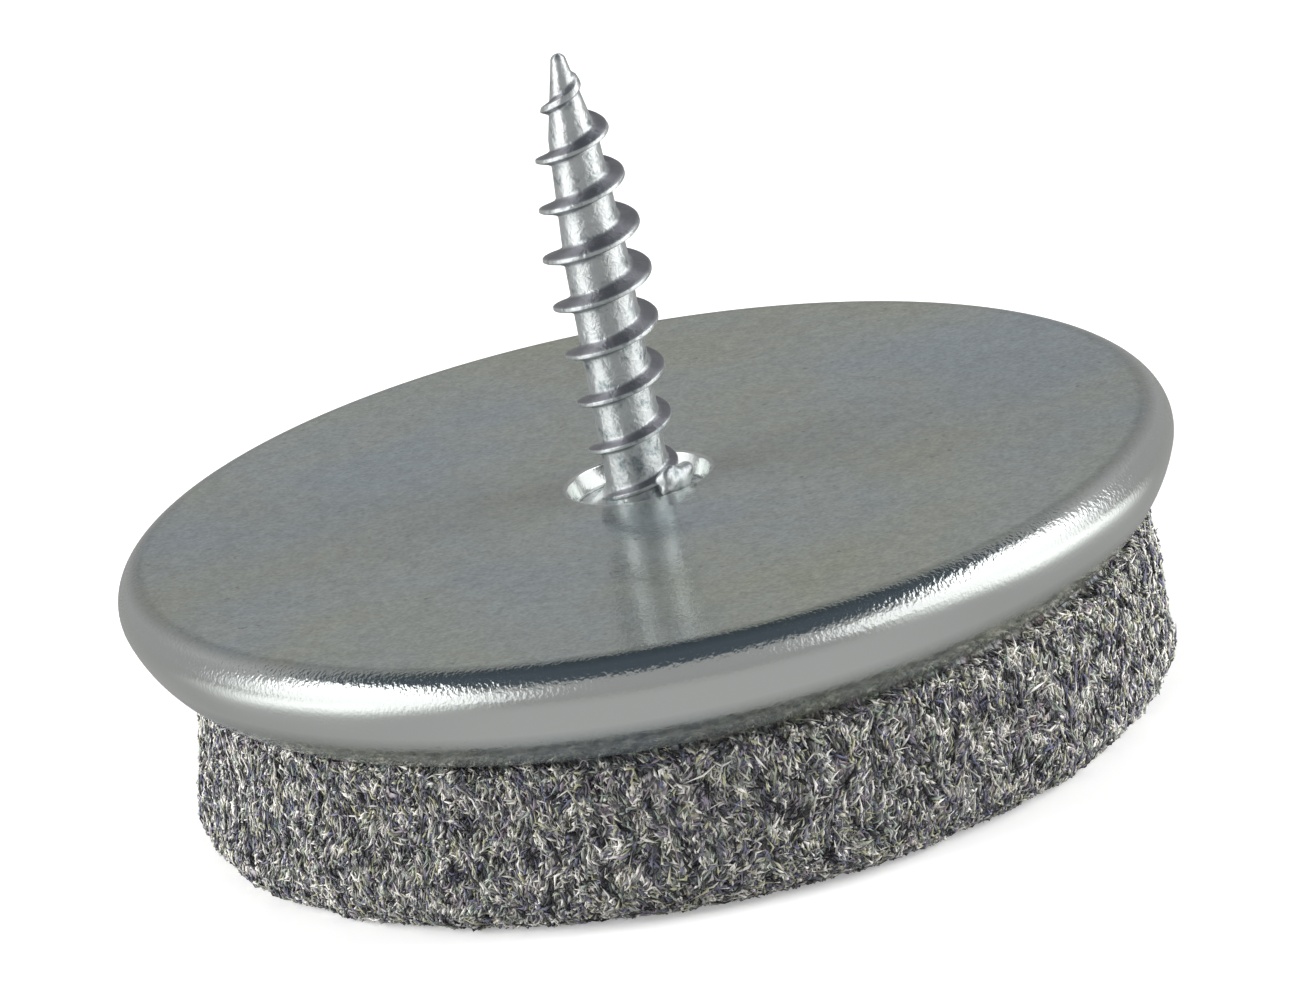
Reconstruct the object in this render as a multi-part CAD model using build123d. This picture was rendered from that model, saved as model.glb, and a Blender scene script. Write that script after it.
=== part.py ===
from build123d import *
from math import acos, atan2, ceil, cos, degrees, hypot, radians, sin, tan
import os

# Felt furniture glide: a pressed steel cup whose rim is curled in to grip a thick felt pad,
# with a wood screw held captive between the cup and the felt.
# Millimetres. +Z runs up the screw, and the origin is the centre of the felt's underside.

# Pressed cup
CUP_DIAMETER = 40.0            # at the widest point of the rim
SHEET = 0.8                    # thickness of the steel sheet
SHOULDER_RADIUS = 1.2          # outside, between the flat top and the rim
RIM_LEAN = 17.7                # degrees that the rim leans in where the shoulder ends
CURL_RADIUS = 4.9              # outside, of the inward curl below the shoulder
LIP_ANGLE = 61.0               # degrees below level at which the curl is cut off
HOLE_DIAMETER = 4.9            # punched in the middle of the top

# Felt pad
STAND_HEIGHT = 10.7            # from the floor to the top of the cup
FELT_DIAMETER = 37.2           # at the lower edge, where the felt has spread
FELT_NECK_DIAMETER = 36.3      # below the lip, where the felt bulges out
FELT_EDGE_RADIUS = 1.3         # round the worn lower edge
FELT_SHOULDER_RADIUS = 0.5     # of the bulge below the lip
FELT_CLEARANCE = 0.1           # sideways, between the felt and the cup or the screw head

# Wood screw
SCREW_REACH = 16.7             # from the top of the cup to the tip
THREAD_PITCH = 1.9
CREST_DIAMETER = 4.0           # at the end of the taper
CREST_AT_POINT = 2.9           # where the taper begins
CREST_AT_START = 1.1           # at the first turn, near the tip
CREST_AT_HEAD = 3.1            # where the thread runs out into the neck
CREST_LAND = 0.1               # width of the crest
FLANK_ANGLE = 17.0             # degrees between a flank and the level
THREAD_TURN = -47.0            # degrees from +X to the ridge where the point begins
THREAD_RUNOUT = 0.4            # below the top of the cup, inside the hole
CORE_DIAMETER = 2.4
CORE_AT_POINT = 1.84
TIP_DIAMETER = 0.6             # of the blunt round tip
POINT_LENGTH = 3.2             # from the tip to the start of the taper
TAPER_LENGTH = 8.0             # from the tip to the full diameters
THREAD_START = 0.9             # from the tip to the first turn
HEAD_DIAMETER = 8.0
HEAD_HEIGHT = 1.6              # of the flat head, which bears on the underside of the cup
NECK_DIAMETER = 3.9            # of the cone where it meets the head
NECK_HEIGHT = 0.75
RECESS_SPAN = 4.4              # across the wings of the cross recess
RECESS_WING = 1.0              # width of one wing
RECESS_DEPTH = 1.1
RECESS_TAPER = 8.0             # degrees

# Where the pieces meet
plate_top = STAND_HEIGHT
plate_underside = plate_top - SHEET
shoulder_centre = (CUP_DIAMETER / 2 - SHOULDER_RADIUS, plate_top - SHOULDER_RADIUS)
head_face = plate_underside - HEAD_HEIGHT
tip = plate_top + SCREW_REACH


def polar(centre, radius, angle):
    """Point at a radius and an angle in degrees from a centre."""
    return (centre[0] + radius * cos(radians(angle)), centre[1] + radius * sin(radians(angle)))


curl_centre = polar(shoulder_centre, CURL_RADIUS - SHOULDER_RADIUS, 180 - RIM_LEAN)


def turned(outline):
    """Solid made by turning a closed outline, given as edges in radius and height, about Z."""
    return revolve(Plane.XZ * make_face(outline), Axis.Z)


def rim_arcs(inset, shift):
    """Shoulder and curl of the rim, inset from its outside and drawn in towards the axis."""
    shoulder = (shoulder_centre[0] - shift, shoulder_centre[1])
    curl = (curl_centre[0] - shift, curl_centre[1])
    return [
        CenterArc(shoulder, SHOULDER_RADIUS - inset, 90, -90 - RIM_LEAN),
        CenterArc(curl, CURL_RADIUS - inset, -RIM_LEAN, RIM_LEAN - LIP_ANGLE),
    ]


def steel_cup():
    """Flat top, shoulder and curled rim of one sheet, with the punched hole."""
    outside = rim_arcs(0, 0)
    inside = rim_arcs(SHEET, 0)
    hole_top = (HOLE_DIAMETER / 2, plate_top)
    hole_bottom = (HOLE_DIAMETER / 2, plate_underside)
    return turned([
        Line(hole_top, outside[0] @ 0),
        *outside,
        Line(outside[1] @ 1, inside[1] @ 1),
        *inside,
        Line(inside[0] @ 0, hole_bottom),
        Line(hole_bottom, hole_top),
    ])


def felt_pad():
    """Felt that fills the cup, is nipped by the lip, bulges below it, spreads and takes the screw head.

    The side is the tangent of the bulge and the lower edge, so it leans by the angle of the line
    between their centres, turned by that of the difference of their radii.
    """
    inside = rim_arcs(SHEET, FELT_CLEARANCE)
    lip = polar(curl_centre, CURL_RADIUS, -LIP_ANGLE)
    below_lip = polar(lip, FELT_CLEARANCE, -LIP_ANGLE - 90)
    ledge = (FELT_NECK_DIAMETER / 2 - FELT_SHOULDER_RADIUS, below_lip[1])
    bulge_centre = (ledge[0], ledge[1] - FELT_SHOULDER_RADIUS)
    edge_centre = (FELT_DIAMETER / 2 - FELT_EDGE_RADIUS, FELT_EDGE_RADIUS)
    out = bulge_centre[0] - edge_centre[0]
    rise = bulge_centre[1] - edge_centre[1]
    lean = degrees(atan2(rise, out) - acos((FELT_EDGE_RADIUS - FELT_SHOULDER_RADIUS) / hypot(out, rise)))
    bulge = CenterArc(bulge_centre, FELT_SHOULDER_RADIUS, 90, lean - 90)
    edge = CenterArc(edge_centre, FELT_EDGE_RADIUS, lean, -90 - lean)
    pocket = HEAD_DIAMETER / 2 + FELT_CLEARANCE
    return turned([
        Line((0, head_face), (pocket, head_face)),
        Line((pocket, head_face), (pocket, plate_underside)),
        Line((pocket, plate_underside), inside[0] @ 0),
        *inside,
        Line(inside[1] @ 1, below_lip),
        Line(below_lip, ledge),
        bulge,
        Line(bulge @ 1, edge @ 0),
        edge,
        Line(edge @ 1, (0, 0)),
        Line((0, 0), (0, head_face)),
    ])


def spiral(start, end, turns, start_angle):
    """Right-hand helix from one radius and height to another, over a number of turns."""
    rise = end[1] - start[1]
    cone = atan2(end[0] - start[0], rise)
    pitch = rise / turns / cos(cone)
    helix = Edge.make_helix(pitch, rise, start[0], (0, 0, start[1]), angle=degrees(cone))
    return helix.rotate(Axis.Z, start_angle)


def thread_stations():
    """Height, crest diameter and core diameter where the thread's taper changes, from the head up."""
    tip_radius = TIP_DIAMETER / 2
    along_point = (THREAD_START - tip_radius) / (POINT_LENGTH - tip_radius)
    core_at_start = TIP_DIAMETER + (CORE_AT_POINT - TIP_DIAMETER) * along_point
    return [
        (plate_top - THREAD_RUNOUT, CREST_AT_HEAD, CORE_DIAMETER),
        (tip - TAPER_LENGTH, CREST_DIAMETER, CORE_DIAMETER),
        (tip - POINT_LENGTH, CREST_AT_POINT, CORE_AT_POINT),
        (tip - THREAD_START, CREST_AT_START, core_at_start),
    ]


def turn_stations():
    """The thread's stations with more put between them, so that none is over a turn from the next."""
    stations = thread_stations()
    turns = stations[:1]
    for low, high in zip(stations, stations[1:]):
        spans = ceil((high[0] - low[0]) / THREAD_PITCH)
        for span in range(1, spans + 1):
            turns.append(tuple(a + (b - a) * span / spans for a, b in zip(low, high)))
    return turns


def thread_section(height, crest_diameter, core_diameter):
    """Corners of the ridge at a height, from its lower foot round to its upper foot.

    The feet lie half-way from the core's surface to the axis, so that the ridge joins the core.
    """
    crest = crest_diameter / 2
    foot = core_diameter / 4
    land = CREST_LAND / 2
    spread = land + (crest - foot) * tan(radians(FLANK_ANGLE))
    return [(foot, height - spread), (crest, height - land), (crest, height + land), (foot, height + spread)]


def section_face(section, angle):
    """Flat end of the ridge at an angle about Z."""
    return (Plane.XZ * make_face(Polyline(*section, close=True))).face().rotate(Axis.Z, angle)


def screw_thread():
    """Helical ridge of ruled flanks and crest, from the neck up to near the tip."""
    stations = turn_stations()
    sections = [thread_section(*station) for station in stations]
    angles = [THREAD_TURN + 360 * (station[0] - tip + POINT_LENGTH) / THREAD_PITCH for station in stations]
    faces = [section_face(sections[0], angles[0]), section_face(sections[-1], angles[-1])]
    for index in range(len(stations) - 1):
        turns = (angles[index + 1] - angles[index]) / 360
        corners = zip(sections[index], sections[index + 1])
        edges = [spiral(low, high, turns, angles[index]) for low, high in corners]
        for number, edge in enumerate(edges):
            faces.append(Face.make_surface_from_curves(edge, edges[number - 1]))
    return Solid(Shell(faces))


def screw_blank():
    """Screw without its thread: flat head, conical neck, plain core, taper, point and round tip."""
    tip_radius = TIP_DIAMETER / 2
    core = CORE_DIAMETER / 2
    tip_centre = (0, tip - tip_radius)
    tip_arc = CenterArc(tip_centre, tip_radius, 0, 90)
    return turned([
        Polyline(
            tip_arc @ 0,
            (CORE_AT_POINT / 2, tip - POINT_LENGTH),
            (core, tip - TAPER_LENGTH),
            (core, plate_underside + NECK_HEIGHT),
            (NECK_DIAMETER / 2, plate_underside),
            (HEAD_DIAMETER / 2, plate_underside),
            (HEAD_DIAMETER / 2, head_face),
            (0, head_face),
            tip_arc @ 1,
        ),
        tip_arc,
    ])


def cross_recess():
    """Tapered cross sunk into the flat of the head."""
    wing = Rectangle(RECESS_SPAN, RECESS_WING)
    cross = wing + wing.rotate(Axis.Z, 90)
    return Pos(0, 0, head_face) * extrude(cross, RECESS_DEPTH, taper=RECESS_TAPER)


def wood_screw():
    """Screw of one piece, with its thread and recess."""
    return screw_blank() + screw_thread() - cross_recess()


os.makedirs("parts", exist_ok=True)
for name, piece in [
    ("steel_cup", steel_cup()),
    ("felt_pad", felt_pad()),
    ("wood_screw", wood_screw()),
]:
    export_step(piece, "parts/" + name + ".step")
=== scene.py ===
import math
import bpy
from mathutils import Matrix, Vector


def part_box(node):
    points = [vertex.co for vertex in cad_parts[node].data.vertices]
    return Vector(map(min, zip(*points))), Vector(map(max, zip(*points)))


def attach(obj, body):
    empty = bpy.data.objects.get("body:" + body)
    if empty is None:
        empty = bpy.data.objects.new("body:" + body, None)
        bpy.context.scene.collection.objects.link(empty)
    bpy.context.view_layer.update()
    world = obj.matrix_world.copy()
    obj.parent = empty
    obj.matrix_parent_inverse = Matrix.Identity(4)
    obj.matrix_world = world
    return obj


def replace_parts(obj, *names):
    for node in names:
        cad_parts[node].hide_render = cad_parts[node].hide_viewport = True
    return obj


bl_info = {
    "name": "Felt furniture glide",
    "version": (1, 0, 0),
    "blender": (4, 5, 0),
    "location": "3D View > Sidebar > Glide",
    "description": "Dresses a screw-in felt glide: pressed cup, wood screw and felt pad, on a studio table",
    "category": "Object",
}

from functools import partial

import bmesh
import bpy
import numpy as np
from bpy.props import FloatProperty, FloatVectorProperty, IntProperty, PointerProperty
from mathutils import Matrix, Vector

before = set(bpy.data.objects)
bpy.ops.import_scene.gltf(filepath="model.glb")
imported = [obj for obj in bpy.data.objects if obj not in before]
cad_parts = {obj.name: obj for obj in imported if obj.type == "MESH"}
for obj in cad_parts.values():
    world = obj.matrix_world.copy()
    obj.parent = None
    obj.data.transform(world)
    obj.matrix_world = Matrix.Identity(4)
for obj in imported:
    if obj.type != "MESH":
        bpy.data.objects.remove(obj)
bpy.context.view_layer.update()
CUP_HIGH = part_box("steel_cup")[1]
SCREW_LOW, SCREW_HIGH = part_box("wood_screw")
MM = 0.001
RIGHT = math.pi / 2
CIRCLE = 2 * np.pi
BAKE_MAP = "OFBake"

# Columns round the screw, and the bands of its UV map that its thread, head and tip take up.
SCREW_COLUMNS = 72
THREAD_BAND = 0.8
HEAD_BAND = (0.8, 0.92)
TIP_BAND = (0.94, 1.0)

# The wools of the felt from dark to light, and their shares of the mix.
WOOL_SHARES = {
    "black": 0.13, "charcoal": 0.17, "blue": 0.08, "mauve": 0.08, "grey": 0.17,
    "green": 0.07, "olive": 0.07, "pale": 0.14, "white": 0.09,
}

# Random fields over the felt: seed, shortest and longest wave in millimetres, and stretch upwards. Then the
# number of waves in a field, and the way round the middle of the felt's side.
FELT_FIELDS = {
    "lumps": (23, 2.4, 8.0, 1.0),
    "tones": (29, 0.4, 1.4, 1.8),
    "swirls": (31, 1.5, 4.0, 1.0),
    "tufts": (37, 0.6, 1.6, 1.5),
}
FIELD_WAVES = 80
FELT_GIRTH = CIRCLE * 18.4 * MM


def linear(code):
    """Linear colour of an sRGB hex value: each part over 255, with the sRGB curve undone."""
    parts = np.array([int(code[place:place + 2], 16) for place in (1, 3, 5)]) / 255
    return tuple(float(part) for part in np.where(
        parts <= 0.04045, parts / 12.92, ((parts + 0.055) / 1.055) ** 2.4))


def length(name, description, millimetres):
    """A length property given in millimetres."""
    return FloatProperty(name=name, description=description, default=millimetres * MM,
                         unit="LENGTH", precision=5)


def angle(name, description, degrees):
    """An angle property given in degrees."""
    return FloatProperty(name=name, description=description, default=math.radians(degrees), subtype="ANGLE")


def strength(name, description, value):
    """A brightness property."""
    return FloatProperty(name=name, description=description, default=value, min=0.0)


def colour(name, description, code):
    """A colour property given as an sRGB hex value."""
    return FloatVectorProperty(name=name, description=description, default=linear(code),
                               subtype="COLOR", size=3, min=0.0, max=1.0)


class CupSettings(bpy.types.PropertyGroup):
    """Sizes and colours of the pressed cup."""

    sheet: length("Sheet", "Thickness of the steel sheet", 0.8)
    shoulder: length("Shoulder", "Outside radius between the flat top and the rim", 1.2)
    curl: length("Curl", "Outside radius of the rim's inward curl", 4.9)
    lean: angle("Lean", "How far the rim leans in where the shoulder ends", 17.7)
    lip: angle("Lip", "Angle below level at which the curl is cut off", 61.0)
    hole: length("Hole", "Diameter of the punched hole", 4.9)
    punched: length("Punched edge", "How much wider the punch drew the hole's upper edge", 0.26)
    zinc: colour("Zinc", "Plating over most of the sheet", "#979D9A")
    zinc_blue: colour("Blue zinc", "Cooler clouds in the plating", "#909AA0")
    zinc_olive: colour("Olive zinc", "Passivated, warmer clouds in the plating", "#999D90")
    # Lighter plating of the rim and the hole's mouth: rubbed zinc, and in part a painted highlight.
    zinc_rubbed_and_highlit: colour("Rubbed zinc", "Plating rubbed bright where the sheet was formed", "#D8DCDA")
    speck: colour("Speck", "Pits and specks in the plating", "#464A48")


class ScrewSettings(bpy.types.PropertyGroup):
    """Sizes and colours of the wood screw."""

    pitch: length("Pitch", "Rise of the thread in one turn", 1.9)
    turn: angle("Turn", "From +X to the ridge where the point begins", -47.0)
    crest: length("Crest", "Radius over the thread at the end of its taper", 2.0)
    crest_point: length("Crest at point", "Radius over the thread where the point begins", 1.45)
    crest_start: length("Crest at start", "Radius over the thread at its first turn", 0.55)
    crest_head: length("Crest at head", "Radius over the thread where it runs out into the neck", 1.55)
    land: length("Land", "Width of the crest", 0.1)
    flank: angle("Flank", "Between a flank of the ridge and the level", 17.0)
    core: length("Core", "Radius of the core", 1.2)
    core_point: length("Core at point", "Radius of the core where the point begins", 0.92)
    tip: length("Tip", "Radius of the blunt tip", 0.3)
    point: length("Point", "Length of the point", 3.2)
    taper: length("Taper", "Length over which the thread grows to its full size", 8.0)
    start: length("Start", "Length of bare tip above the first turn", 0.9)
    blunt: length("Blunt start", "How much wider the ridge is at its first turn", 0.12)
    runout: length("Run-out", "How far the thread goes down into the hole", 0.4)
    head: length("Head", "Radius of the flat head", 4.0)
    neck: length("Neck", "Radius of the neck's cone where it meets the head", 1.95)
    neck_height: length("Neck height", "Height of the neck's cone", 0.75)
    wing: length("Wing", "Half the width of a wing of the cross recess", 0.5)
    span: length("Span", "Half the span of the cross recess", 2.2)
    recess: length("Recess", "Depth of the cross recess", 1.1)
    slope: length("Slope", "Width of the recess's sloping walls", 0.22)
    burr_turn: angle("Burr turn", "From +X to the burr at the neck", -48.0)
    burr_rise: length("Burr rise", "Height of the burr's middle above the cup", 0.18)
    zinc: colour("Zinc", "Bright plating of the screw", "#F3F7F7")
    zinc_dull: colour("Dull zinc", "Duller clouds in the plating", "#ADB9BC")
    # Painted shade: this darker colour on the thread's flanks stands for their shade.
    zinc_flank_shade: colour("Flank zinc", "Plating on the thread's flanks, which nothing rubs", "#A2A3AA")


class FeltSettings(bpy.types.PropertyGroup):
    """Sizes and colours of the felt pad."""

    diameter: length("Diameter", "At the lower edge, where the felt has spread", 37.2)
    neck: length("Neck", "Diameter below the lip, where the felt bulges out", 36.3)
    edge: length("Edge", "Radius of the worn lower edge", 1.3)
    bulge: length("Bulge", "Radius of the bulge below the lip", 0.5)
    clearance: length("Clearance", "Room between the felt and the steel", 0.1)
    askew: length("Askew", "How far the top of the free felt sits to the right", 0.4)
    lumps: length("Lumps", "Height of the uneven lumps in the surface", 0.05)
    tufts: length("Tufts", "Height of the small tufts in the surface", 0.045)
    pile: length("Pile", "How deep the loose wool lies on the side", 0.14)
    fibres: IntProperty(name="Fibres", description="Number of fibres on the side", default=66000, min=0)
    fibres_below: IntProperty(name="Fibres below", description="Number of fibres underneath",
                              default=24000, min=0)
    fibre: length("Fibre", "Middle length of a fibre", 0.58)
    black: colour("Black", "Darkest wool in the mix", "#302F32")
    charcoal: colour("Charcoal", "Dark wool in the mix", "#636465")
    blue: colour("Blue", "Blue-violet wool in the mix", "#70728C")
    mauve: colour("Mauve", "Dull mauve wool in the mix", "#968B95")
    grey: colour("Grey", "Middle wool in the mix", "#ABABA8")
    green: colour("Green", "Grey-green wool in the mix", "#9AA79C")
    olive: colour("Olive", "Dull yellow wool in the mix", "#B7B595")
    pale: colour("Pale", "Pale wool in the mix", "#D6D3CD")
    white: colour("White", "Undyed wool in the mix", "#EFECE6")


class StageSettings(bpy.types.PropertyGroup):
    """The table, the light and the camera."""

    floor: colour("Floor", "Colour of the table", "#E9E9E9")
    top_up: strength("Top-up", "Light added to the table where it is seen", 0.34)
    fill: strength("Fill", "Even light from all round", 0.34)
    softbox: strength("Softbox", "Brightness of the two side lights", 10.0)
    lamp_out: length("Lamp out", "From the object's axis to a side light", 500.0)
    lamp_height: length("Lamp height", "Height of the side lights", 190.0)
    lamp_width: length("Lamp width", "Width of a side light", 440.0)
    lamp_depth: length("Lamp depth", "The other side of a side light", 320.0)
    elevation: angle("Elevation", "Height of the camera above level", 18.37)
    roll: angle("Roll", "Turn of the camera about its line of sight", 10.9)
    distance: length("Distance", "From the camera to the cup's top", 360.0)
    aside: length("Aside", "How far the camera is moved to its right", 0.429)
    below: length("Below", "How far the camera is moved down", 0.839)
    lens: FloatProperty(name="Lens", description="Focal length on a 36 mm sensor", default=267.4, min=1.0)


def line(start, end, count):
    """Values or points evenly spaced from a start up to an end that is left out."""
    return np.linspace(start, end, count, endpoint=False)


def arc(centre, radius, start, end, count):
    """Points on a circle in radius and height, turned from one angle up to another that is left out."""
    turn = line(start, end, count)
    return np.stack([centre[0] + radius * np.cos(turn), centre[1] + radius * np.sin(turn)], axis=-1)


def about_z(radius, turn, height):
    """Points about Z: x and y are the radius times the cosine and sine of the turn, and z is the height."""
    return np.stack(np.broadcast_arrays(radius * np.cos(turn), radius * np.sin(turn), height), axis=-1)


def turned(outline, columns, first=0.0):
    """Outline in radius and height, turned about Z from a first turn on."""
    return about_z(outline[:, :1], first + line(0, CIRCLE, columns), outline[:, 1:])


def directions(rises, columns):
    """Grid of rises above level and of turns about Z, and the point of the unit sphere in each direction."""
    rise, turn = np.meshgrid(rises, line(0, CIRCLE, columns), indexing="ij")
    return rise, turn, about_z(np.cos(rise), turn, np.sin(rise))


def smooth_step(low, high, value):
    """0 below a low value, 1 above a high one, and three squares less two cubes between."""
    part = np.clip((value - low) / (high - low), 0, 1)
    return part * part * (3 - 2 * part)


def measured(outline):
    """Length along an outline at each of its points, and its outward normal, the tangent turned right."""
    steps = np.linalg.norm(np.diff(outline, axis=0), axis=1)
    tangent = np.gradient(outline, axis=0)
    tangent /= np.linalg.norm(tangent, axis=1, keepdims=True)
    return np.concatenate([[0], np.cumsum(steps)]), np.stack([tangent[:, 1], -tangent[:, 0]], axis=-1)


def ring_faces(points, levels, close=False):
    """Quads and their UVs over a grid of points, rows by columns, whose last column joins its first.

    U is the column's part of the way round, and V is the row's level. A closed grid's last row joins its
    first.
    """
    rows, columns = points.shape[:2]
    row, column = np.meshgrid(np.arange(rows if close else rows - 1), np.arange(columns), indexing="ij")
    above = (row + 1) % rows
    after = (column + 1) % columns
    quads = np.stack([row * columns + column, row * columns + after,
                      above * columns + after, above * columns + column], axis=-1)
    levels = np.append(levels, 1.0)
    u = np.stack([column, column + 1, column + 1, column], axis=-1) / columns
    v = np.stack([levels[row], levels[row], levels[row + 1], levels[row + 1]], axis=-1)
    return points.reshape(-1, 3), quads.reshape(-1, 4), np.stack([u, v], axis=-1).reshape(-1, 4, 2)


def make_piece(name, parts, material, weld=True, dull=None):
    """One mesh object from grids of points, faces and UVs, smooth, with the doubles at its seams merged.

    Where it is given, dull is kept as an attribute, a value for each point.
    """
    points = np.concatenate([part[0] for part in parts])
    firsts = np.cumsum([0] + [len(part[0]) for part in parts[:-1]])
    faces = np.concatenate([part[1] + first for part, first in zip(parts, firsts)])
    uvs = np.concatenate([part[2] for part in parts])
    corners = faces.shape[1]
    mesh = bpy.data.meshes.new(name)
    mesh.vertices.add(len(points))
    mesh.vertices.foreach_set("co", points.astype(np.float32).ravel())
    mesh.loops.add(faces.size)
    mesh.loops.foreach_set("vertex_index", faces.astype(np.int32).ravel())
    mesh.polygons.add(len(faces))
    mesh.polygons.foreach_set("loop_start", np.arange(0, faces.size, corners, dtype=np.int32))
    mesh.update(calc_edges=True)
    layer = mesh.uv_layers.new(name=BAKE_MAP)
    layer.uv.foreach_set("vector", uvs.astype(np.float32).ravel())
    if dull is not None:
        marks = mesh.attributes.new("dull", "FLOAT", "POINT")
        marks.data.foreach_set("value", dull.astype(np.float32).ravel())
    if weld:
        weld_doubles(mesh)
    mesh.polygons.foreach_set("use_smooth", np.ones(len(mesh.polygons), dtype=bool))
    if mesh.validate():
        raise RuntimeError(name + ": the mesh had faces that needed mending")
    mesh.materials.append(material)
    piece = bpy.data.objects.new(name, mesh)
    bpy.context.collection.objects.link(piece)
    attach(piece, "root")
    return piece


def weld_doubles(mesh):
    """Merges points within a tenth of a micron, which closes seams and poles."""
    work = bmesh.new()
    work.from_mesh(mesh)
    bmesh.ops.remove_doubles(work, verts=work.verts, dist=0.0001 * MM)
    work.to_mesh(mesh)
    work.free()


def add_node(tree, kind, inputs=None, stops=(), **settings):
    """Adds a node with its settings, its input values or links, and a ramp's stops.

    An input that is given a node is linked to that node's first output.
    """
    made = tree.nodes.new(kind)
    for name, value in settings.items():
        setattr(made, name, value)
    for name, value in (inputs or {}).items():
        if isinstance(value, bpy.types.Node):
            value = value.outputs[0]
        if isinstance(value, bpy.types.NodeSocket):
            tree.links.new(value, made.inputs[name])
        else:
            made.inputs[name].default_value = value
    for index, (place, shade) in enumerate(stops):
        ramp = made.color_ramp.elements
        stop = ramp[index] if index < len(ramp) else ramp.new(place)
        stop.position = place
        stop.color = (*shade, 1.0)
    return made


def new_material(name):
    """Empty node material, with add_node set to its tree."""
    material = bpy.data.materials.new(name)
    material.use_nodes = True
    material.node_tree.nodes.clear()
    return material, partial(add_node, material.node_tree)


def per_size(millimetres):
    """Texture scale at which one cell of a pattern has a real size in millimetres."""
    return 1 / (millimetres * MM)


def zinc_sheet(cup):
    """Zinc-plated pressed steel: a hazy satin mirror, faintly clouded, with pits and a few dark specks.

    Where the sheet was formed, at the rim and the hole, the plating is clear of its haze and lighter, partly
    as rubbed plating and partly as a painted highlight: the lighter colour comes in partway round the
    shoulder, where the highlight falls, and at the hole's drawn mouth.
    Round the shoulder it is stretched to a coarse grain that sparkles.
    """
    material, add = new_material("zinc_plated_pressed_steel")
    place = add("ShaderNodeTexCoord").outputs["Object"]
    height = add("ShaderNodeSeparateXYZ", {"Vector": place}).outputs[2]
    level = add("ShaderNodeVectorMath", {0: place, 1: (1.0, 1.0, 0.0)}, operation="MULTIPLY")
    radius = add("ShaderNodeVectorMath", {0: level}, operation="LENGTH").outputs["Value"]
    edge = CUP_HIGH.x - cup.shoulder
    mouth = cup.hole / 2 + cup.punched
    # Radii over which the flat sheet passes into the shoulder's bend, into the lighter plating, rubbed and
    # in part a painted highlight, and, going in, into the drawn mouth of the hole.
    bent, outer, drawn = (
        add("ShaderNodeMapRange", {"Value": radius, "From Min": start, "From Max": end})
        for start, end in (
            (edge - 0.1 * MM, edge + 0.4 * MM),
            (edge + 0.2 * MM, edge + 0.75 * MM),
            (mouth + 0.2 * MM, mouth),
        ))
    formed = add("ShaderNodeMath", {0: bent, 1: drawn}, operation="MAXIMUM")
    # Painted highlight in part: where the rim's highlight falls, and at the hole's mouth, the plating takes
    # the lighter colour.
    rubbed_and_highlit = add("ShaderNodeMath", {0: outer, 1: drawn}, operation="MAXIMUM")
    # Size in millimetres, detail and roughness of each pattern in the plating.
    cloud, blotch, grain, pitted, dirty = (
        add("ShaderNodeTexNoise", {
            "Vector": place, "Scale": per_size(size), "Detail": detail, "Roughness": roughness})
        for size, detail, roughness in (
            (12.0, 5.0, 0.6),  # clouds of the passivation, cold blue to olive, faint
            (0.5, 3.0, 0.7),  # blotches of the plating
            (0.15, 1.0, 0.5),  # its grain, drawn a little coarser than real
            (0.36, 2.0, 0.5),  # pits, 0.15 mm across, thinly strewn
            (1.1, 4.0, 0.6),  # specks of dirt, 0.3 mm across, a few over the whole cup
        ))
    tint = add("ShaderNodeValToRGB", {"Fac": cloud},
               [(0.34, cup.zinc_blue), (0.5, cup.zinc), (0.66, cup.zinc_olive)])
    both = add("ShaderNodeMath", {0: blotch, 1: grain}, operation="ADD")
    mottle = add("ShaderNodeMapRange", {
        "Value": both, "From Min": 0.7, "From Max": 1.3, "To Min": 0.8, "To Max": 1.2})
    toned = add("ShaderNodeMix", {0: 1.0, 6: tint, 7: mottle}, data_type="RGBA", blend_type="MULTIPLY")
    # The lighter colour mixed in here is in part a painted highlight.
    worked_and_highlit = add("ShaderNodeMix", {0: rubbed_and_highlit, 6: toned.outputs[2], 7: (*cup.zinc_rubbed_and_highlit, 1.0)},
                 data_type="RGBA")
    pits = add("ShaderNodeMapRange", {"Value": pitted, "From Min": 0.68, "From Max": 0.77, "To Max": 0.5})
    specks = add("ShaderNodeMapRange", {"Value": dirty, "From Min": 0.73, "From Max": 0.79, "To Max": 0.75})
    strewn = add("ShaderNodeMath", {0: pits, 1: specks}, operation="MAXIMUM")
    flat = add("ShaderNodeMath", {0: 1.0, 1: rubbed_and_highlit}, operation="SUBTRACT")
    marks = add("ShaderNodeMath", {0: strewn, 1: flat}, operation="MULTIPLY")
    shade = add("ShaderNodeMix", {0: marks, 6: worked_and_highlit.outputs[2], 7: (*cup.speck, 1.0)}, data_type="RGBA")
    haze = add("ShaderNodeMapRange", {"Value": formed, "To Min": 0.65, "To Max": 1.0})
    rough = add("ShaderNodeMapRange", {
        "Value": blotch, "From Min": 0.3, "From Max": 0.7, "To Min": 0.12, "To Max": 0.17})
    # The stretched grain rises to its full height over the upper half of the shoulder.
    above = add("ShaderNodeMapRange", {
        "Value": height, "From Min": CUP_HIGH.z - 1.3 * MM, "From Max": CUP_HIGH.z - 0.5 * MM,
        "To Min": 0.6, "To Max": 4.0})
    rise = add("ShaderNodeMath", {0: bent, 1: above, 2: 1.0}, operation="MULTIPLY_ADD")
    grains = add("ShaderNodeMath", {0: grain, 1: rise}, operation="MULTIPLY")
    bump = add("ShaderNodeBump", {"Strength": 0.7, "Distance": 0.007 * MM, "Height": grains})
    surface = add("ShaderNodeBsdfPrincipled", {
        "Base Color": shade.outputs[2], "Metallic": haze, "Roughness": rough, "Normal": bump})
    add("ShaderNodeOutputMaterial", {"Surface": surface})
    return material


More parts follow.
